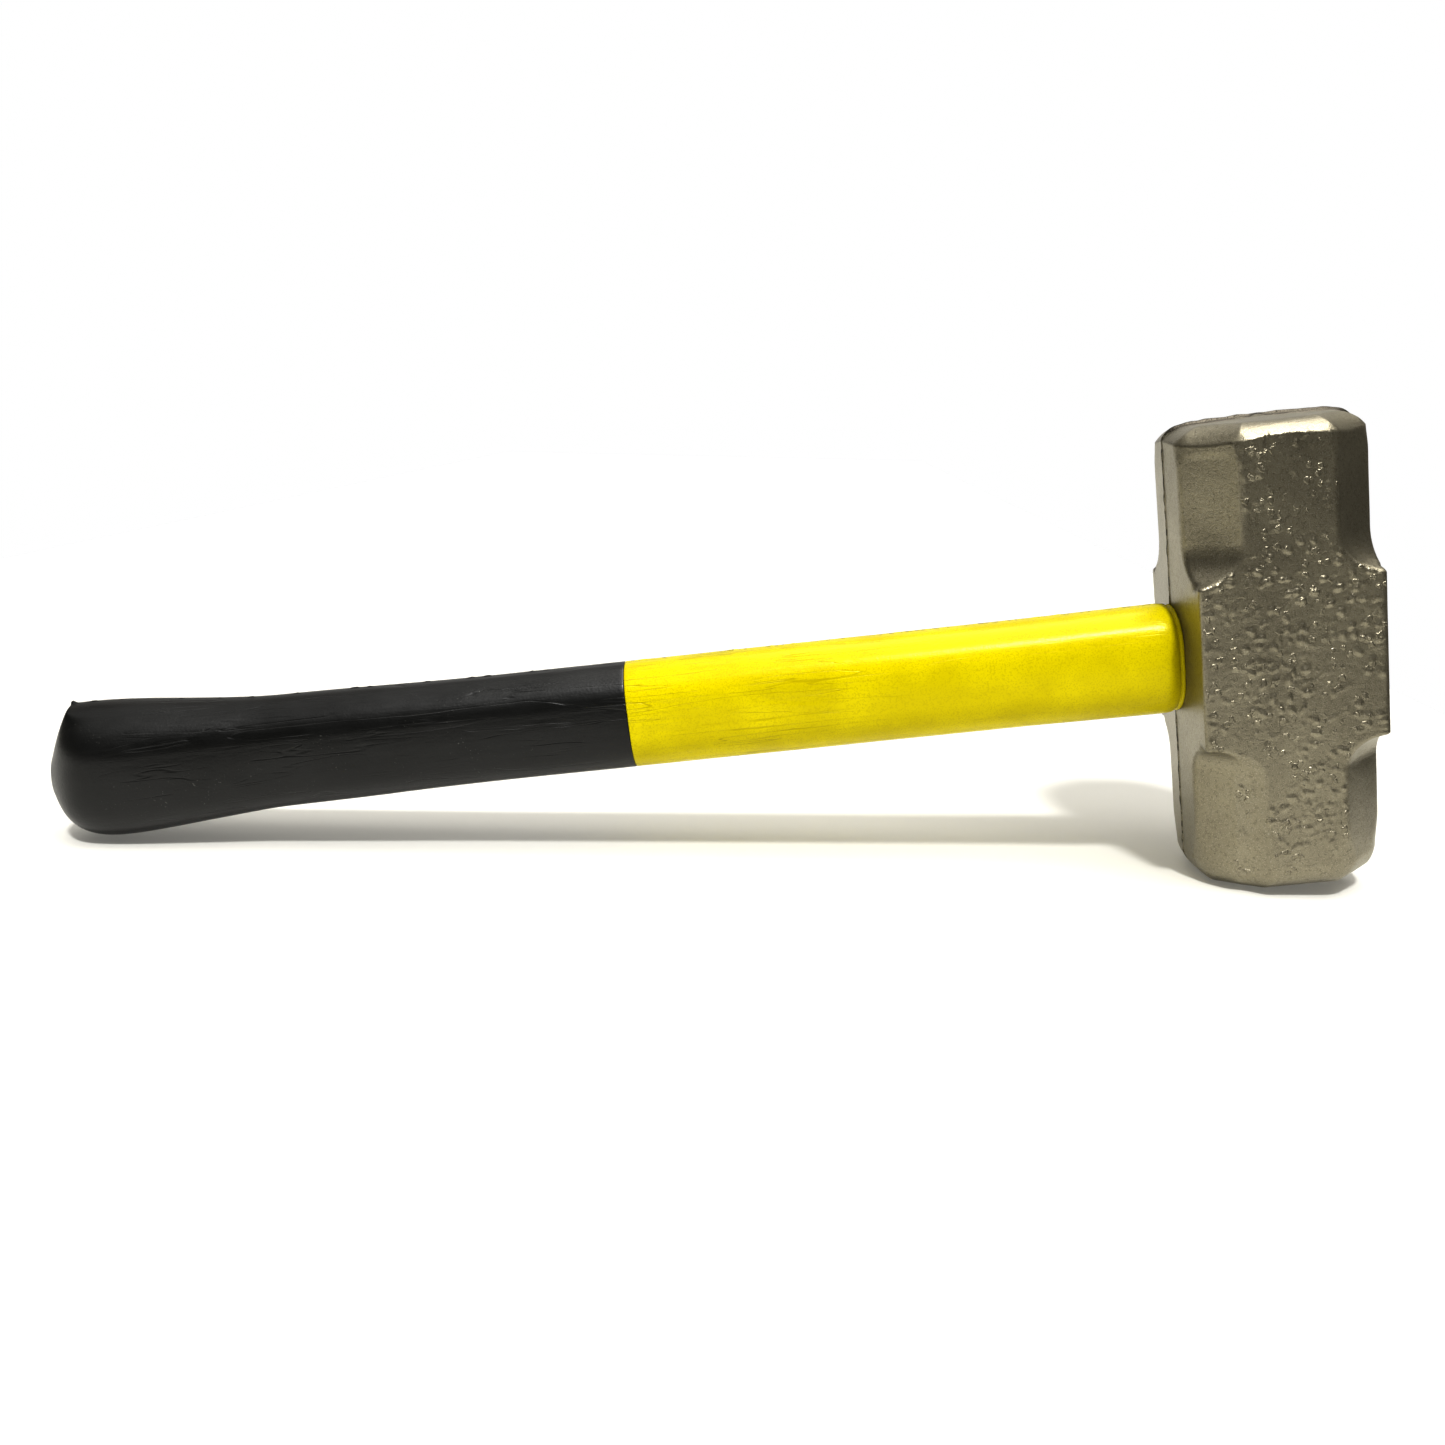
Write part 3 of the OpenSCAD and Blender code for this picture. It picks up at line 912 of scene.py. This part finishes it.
def dark_seam(g, place):
    """A dark line along the die seam on the eye sides, of uneven width, that is widest at the top."""
    wander = g.math("MULTIPLY_ADD", g.noise(g.tool_place((1, 1000, 1)), 12, 1.0), 1.2, -0.6)
    off_seam = g.math("ABSOLUTE", g.math("SUBTRACT", g.split(place)[1], wander))
    crumbs = g.band(g.noise(place, 2.2, 2.0), 0.44, 0.54)
    up = g.band(g.split(place)[2], HALF_L - 2.5, HALF_L - 0.5)
    width = g.math("MULTIPLY_ADD", g.noise(place, 3.5, 2.0), 0.9, -0.4)
    width = g.math("MAXIMUM", width, g.times(up, 0.6))
    near = g.band(g.math("SUBTRACT", off_seam, width), 0.15, 0.5, 1.0, 0.0)
    return g.times(near, g.band(g.math("MAXIMUM", crumbs, up), 0.0, 1.0, 0.35, 0.95))


def along_seam(g, place, reach):
    """1 near the mould line that runs along the top and bottom of the handle."""
    return g.band(g.math("ABSOLUTE", g.split(place)[1]), 0.0, reach, 1.0, 0.0)


def long_folds(g, place, size, distortion, width, low, high):
    """Thin folds that run along the handle, in patches where a noise is between low and high."""
    lines = g.line(g.noise(place, size, 1.0, 0.5, distortion), width)
    return g.times(lines, g.band(g.noise(g.tool_place((5, 1, 1)), 6.0), low, high))


def jacket_material():
    """Glossy yellow plastic: folds near the grip with painted shade in them, fine peel, specks along the
    mould line.
    """
    g = new_graph("yellow_jacket")
    place = g.tool_place()
    long_place = g.tool_place((26, 1, 1))
    near_grip = g.band(g.split(place)[0], SLEEVE_X + 30, SLEEVE_X + 105, 1.0, 0.12)
    folds = g.times(long_folds(g, long_place, 2.0, 0.3, 0.018, 0.38, 0.56), near_grip)
    streak = g.noise(long_place, 0.9, 3.0, 0.6)
    peel = g.noise(place, 0.5, 2.0, 0.6)
    g.bump(g.total((folds, -0.5), (g.times(streak, near_grip), 0.25), (peel, 0.16)), 0.2)
    tone = g.patches(place, 18, YELLOW)
    # Painted shade: darker yellow in the grooves of the folds.
    tone = g.tint(tone, YELLOW_FOLD_SHADE, folds, 0.7)
    tone = g.tint(tone, YELLOW_PEEL, g.band(peel, 0.47, 0.66), 0.5)
    specks = g.times(g.band(g.noise(place, 1.4, 2.0), 0.56, 0.6), along_seam(g, place, 1.6))
    tone = g.tint(tone, YELLOW_SPECK, specks, 0.8)
    rough = g.total((g.noise(place, 5, 2.0), 0.08), (streak, 0.08))
    return g.finish(Base_Color=tone, Roughness=g.math("ADD", rough, 0.12), Specular_IOR_Level=0.3,
                    Specular_Tint=YELLOW_SHEEN)


def grip_material():
    """Black rubber with long folds, uneven gloss and a little dust."""
    g = new_graph("grip_rubber")
    place = g.tool_place()
    long_place = g.tool_place((12, 1, 1))
    off_butt = g.band(g.split(place)[0], BUTT_X + 15, BUTT_X + 40)
    folds = g.times(long_folds(g, long_place, 3.0, 0.5, 0.035, 0.42, 0.6), off_butt)
    streak = g.noise(long_place, 1.0, 3.0, 0.6)
    peel = g.noise(place, 0.8, 2.0)
    g.bump(g.total((folds, -0.45), (streak, 0.25), (peel, 0.2)), 0.16)
    tone = g.patches(place, 20, BLACK)
    dust = g.times(g.band(g.noise(place, 0.7, 2.0), 0.66, 0.74), g.band(g.noise(place, 14), 0.5, 0.65))
    tone = g.tint(tone, DUST, dust, 0.5)
    rough = g.total((g.noise(place, 6, 2.0), 0.12), (streak, 0.12))
    return g.finish(Base_Color=tone, Roughness=g.math("ADD", rough, 0.2), Specular_IOR_Level=0.45)


def epoxy_material():
    """Brown cured resin with bubbles."""
    g = new_graph("cured_epoxy")
    place = g.tool_place()
    bubbles = g.band(g.cells(place, 1.6), 0.12, 0.22, 1.0, 0.0)
    g.bump(g.total((bubbles, -0.5), (g.noise(place, 1.2, 2.0), 0.4)), 0.2)
    tone = g.tint(g.mix(g.noise(place, 4.0, 3.0), *EPOXY), EPOXY_BUBBLE, bubbles, 0.4)
    rough = g.band(g.noise(place, 2.0), 0.3, 0.7, 0.12, 0.3)
    return g.finish(Base_Color=tone, Roughness=rough, Coat_Weight=0.6)


def core_material():
    """A glass rod: strands in bundles that run along the handle."""
    g = new_graph("glass_rod")
    place = g.tool_place((40, 1, 1))
    strands = g.cells(place, 0.35)
    bundles = g.noise(place, 1.6, 3.0, 0.6)
    g.bump(g.total((strands, 0.6), (bundles, 0.3)), 0.12)
    tone = g.mix(g.band(bundles, 0.35, 0.65), *GLASS)
    tone = g.mix(g.band(strands, 0.35, 0.7, 0.0, 0.5), tone, GLASS_GAP)
    return g.finish(Base_Color=tone, Roughness=g.band(bundles, 0.3, 0.7, 0.45, 0.62))


def seal_material():
    """Black rubber with fine pores."""
    g = new_graph("seal_rubber")
    pores = g.noise(g.tool_place(), 0.6, 3.0, 0.6)
    g.bump(pores, 0.1)
    return g.finish(Base_Color=g.mix(pores, *SEAL), Roughness=g.band(pores, 0.3, 0.7, 0.6, 0.8))


# ---------------------------------------------------------------- build the object
def build_tool():
    """The five new pieces, and the CAD seal ring with a rubber material."""
    ring = frame["nodes"]["eye_seal_ring"]
    ring.data.materials.clear()
    ring.data.materials.append(seal_material())
    make_piece("sledge_head", *head_shape(), head_height,
               head_material(), "head_finish", "head")
    make_piece("jacket", *jacket_shape(), jacket_height,
               jacket_material(), "jacket_plastic", "handle_jacket")
    make_piece("grip", *sleeve_shape(), sleeve_height,
               grip_material(), "grip_rubber", "grip_sleeve")
    make_piece("glass_rod", *core_shape(), core_height,
               core_material(), "fibreglass", "handle_core")
    make_piece("epoxy_fill", *epoxy_shape(), epoxy_height,
               epoxy_material(), "epoxy", "eye_epoxy")


# ---------------------------------------------------------------- studio
CAMERA_AT = (0.02115, -0.45963, 0.14257)
CAMERA_TURN = -1.919                    # degrees from +Y towards +X
CAMERA_DOWN = 12.232
CAMERA_ROLL = 1.224
LENS = 37.833
SENSOR = 36.0
GAMMA = 0.8
FLOOR_X, FLOOR_Y = (-0.6, 0.34), (-0.38, 3)
FLOOR_TONE, FLOOR_ROUGH, FLOOR_GLOW = (0.68, 0.672, 0.632), 0.7, 0.26
SUN_POWER, SUN_WIDTH = 2.85, 5.5        # the width in degrees
SUN_FROM = (0.08, -0.54, 0.84)
STRIP_X, STRIP_HALF, STRIP_FADE = 0.18, 0.28, 0.4
STRIP_POWER, FILL = 5.8, 0.085
STRIP_END, GLOSSY_MORE = 0.04, 0.56     # where the strip ends in +Y, and how much later for reflections
WARM_LIGHT, WHITE_LIGHT = (1.0, 0.93, 0.78), (1.0, 0.98, 0.94)


def plain(name, colour, roughness, glow):
    """A plain table top that glows a little, so that shadows on it stay pale."""
    g = new_graph(name)
    grain_here = g.noise(g.node("ShaderNodeTexCoord").outputs["Object"], 0.01, 2.0)
    tone = g.mix(grain_here, tuple(c * 0.985 for c in colour), colour)
    return g.finish(Base_Color=tone, Roughness=roughness, Emission_Color=tone, Emission_Strength=glow)


def sheet(name, corners, material):
    """A flat sheet that belongs to the studio."""
    mesh = bpy.data.meshes.new(name)
    mesh.from_pydata(corners, [], [(0, 1, 2, 3)])
    mesh.materials.append(material)
    made = bpy.data.objects.new(name, mesh)
    bpy.context.scene.collection.objects.link(made)


def build_floor():
    """A plain table top under the tool, longest toward the back."""
    (left, right), (front, back) = FLOOR_X, FLOOR_Y
    corners = [(left, front, 0), (right, front, 0), (right, back, 0), (left, back, 0)]
    sheet("floor", corners, plain("white_floor", FLOOR_TONE, FLOOR_ROUGH, FLOOR_GLOW))


def build_world():
    """White where the camera sees it. Round the tool: a strip light overhead, and dim surroundings."""
    world = bpy.data.worlds.new("studio")
    bpy.context.scene.world = world
    g = Graph(world)
    x, y, z = g.split(g.node("ShaderNodeTexCoord").outputs["Generated"])
    path = g.node("ShaderNodeLightPath").outputs
    side = g.math("ABSOLUTE", g.math("SUBTRACT", x, STRIP_X))
    across = g.times(g.band(side, STRIP_HALF, STRIP_FADE, 1.0, 0.0), g.band(z, 0.3, 0.6))
    reach = g.math("MULTIPLY_ADD", path["Is Glossy Ray"], GLOSSY_MORE, STRIP_END)
    until = g.band(g.math("SUBTRACT", y, reach), -0.25, 0.0, 1.0, 0.0)
    strip = g.times(across, g.times(g.band(y, -0.8, -0.1, 0.0, STRIP_POWER), until))

    ceiling = g.times(g.band(z, 0.55, 0.85, 0.0, 0.7), g.band(x, 0.2, 0.7, 1.0, 0.35))
    off_middle = g.math("ABSOLUTE", x)
    behind = g.times(g.band(y, 0.5, 0.85, 0.0, 0.75), g.band(off_middle, 0.1, 0.6, 1.0, 0.3))
    left = g.times(g.band(x, -0.9, -0.3, 0.08, 0.0), g.band(z, 0.0, 0.35, 1.0, 0.0))
    dim = g.math("MAXIMUM", g.math("MAXIMUM", ceiling, behind), left)
    light = g.math("ADD", dim, g.math("ADD", strip, FILL))

    lit = g.node("ShaderNodeVectorMath", operation="SCALE")
    g.put(lit.inputs[0], g.mix(g.band(light, 0.1, 0.6), WARM_LIGHT, WHITE_LIGHT))
    g.put(lit.inputs["Scale"], light)
    tone = g.mix(path["Is Camera Ray"], lit.outputs[0], (1.0, 1.0, 1.0))
    g.put(g.tree.nodes["Background"].inputs["Color"], tone)


def build_lights():
    """One soft sun, from above and in front."""
    data = bpy.data.lights.new("key", "SUN")
    data.energy = SUN_POWER
    data.angle = math.radians(SUN_WIDTH)
    key = bpy.data.objects.new("key", data)
    key.rotation_euler = Vector(SUN_FROM).to_track_quat("Z", "Y").to_euler()
    bpy.context.scene.collection.objects.link(key)


def build_camera():
    """A camera in front of the tool and a little above it."""
    data = bpy.data.cameras.new("camera")
    data.lens = LENS
    data.sensor_width = SENSOR
    camera = bpy.data.objects.new("camera", data)
    bpy.context.scene.collection.objects.link(camera)
    turn = Matrix.Rotation(math.radians(-CAMERA_TURN), 4, "Z")
    tilt = Matrix.Rotation(math.radians(90 - CAMERA_DOWN), 4, "X")
    roll = Matrix.Rotation(math.radians(CAMERA_ROLL), 4, "Z")
    camera.matrix_world = Matrix.Translation(CAMERA_AT) @ turn @ tilt @ roll
    bpy.context.scene.camera = camera


build_camera()
build_tool()
build_floor()
build_world()
build_lights()
bpy.context.scene.view_settings.view_transform = "Standard"
bpy.context.scene.view_settings.gamma = GAMMA
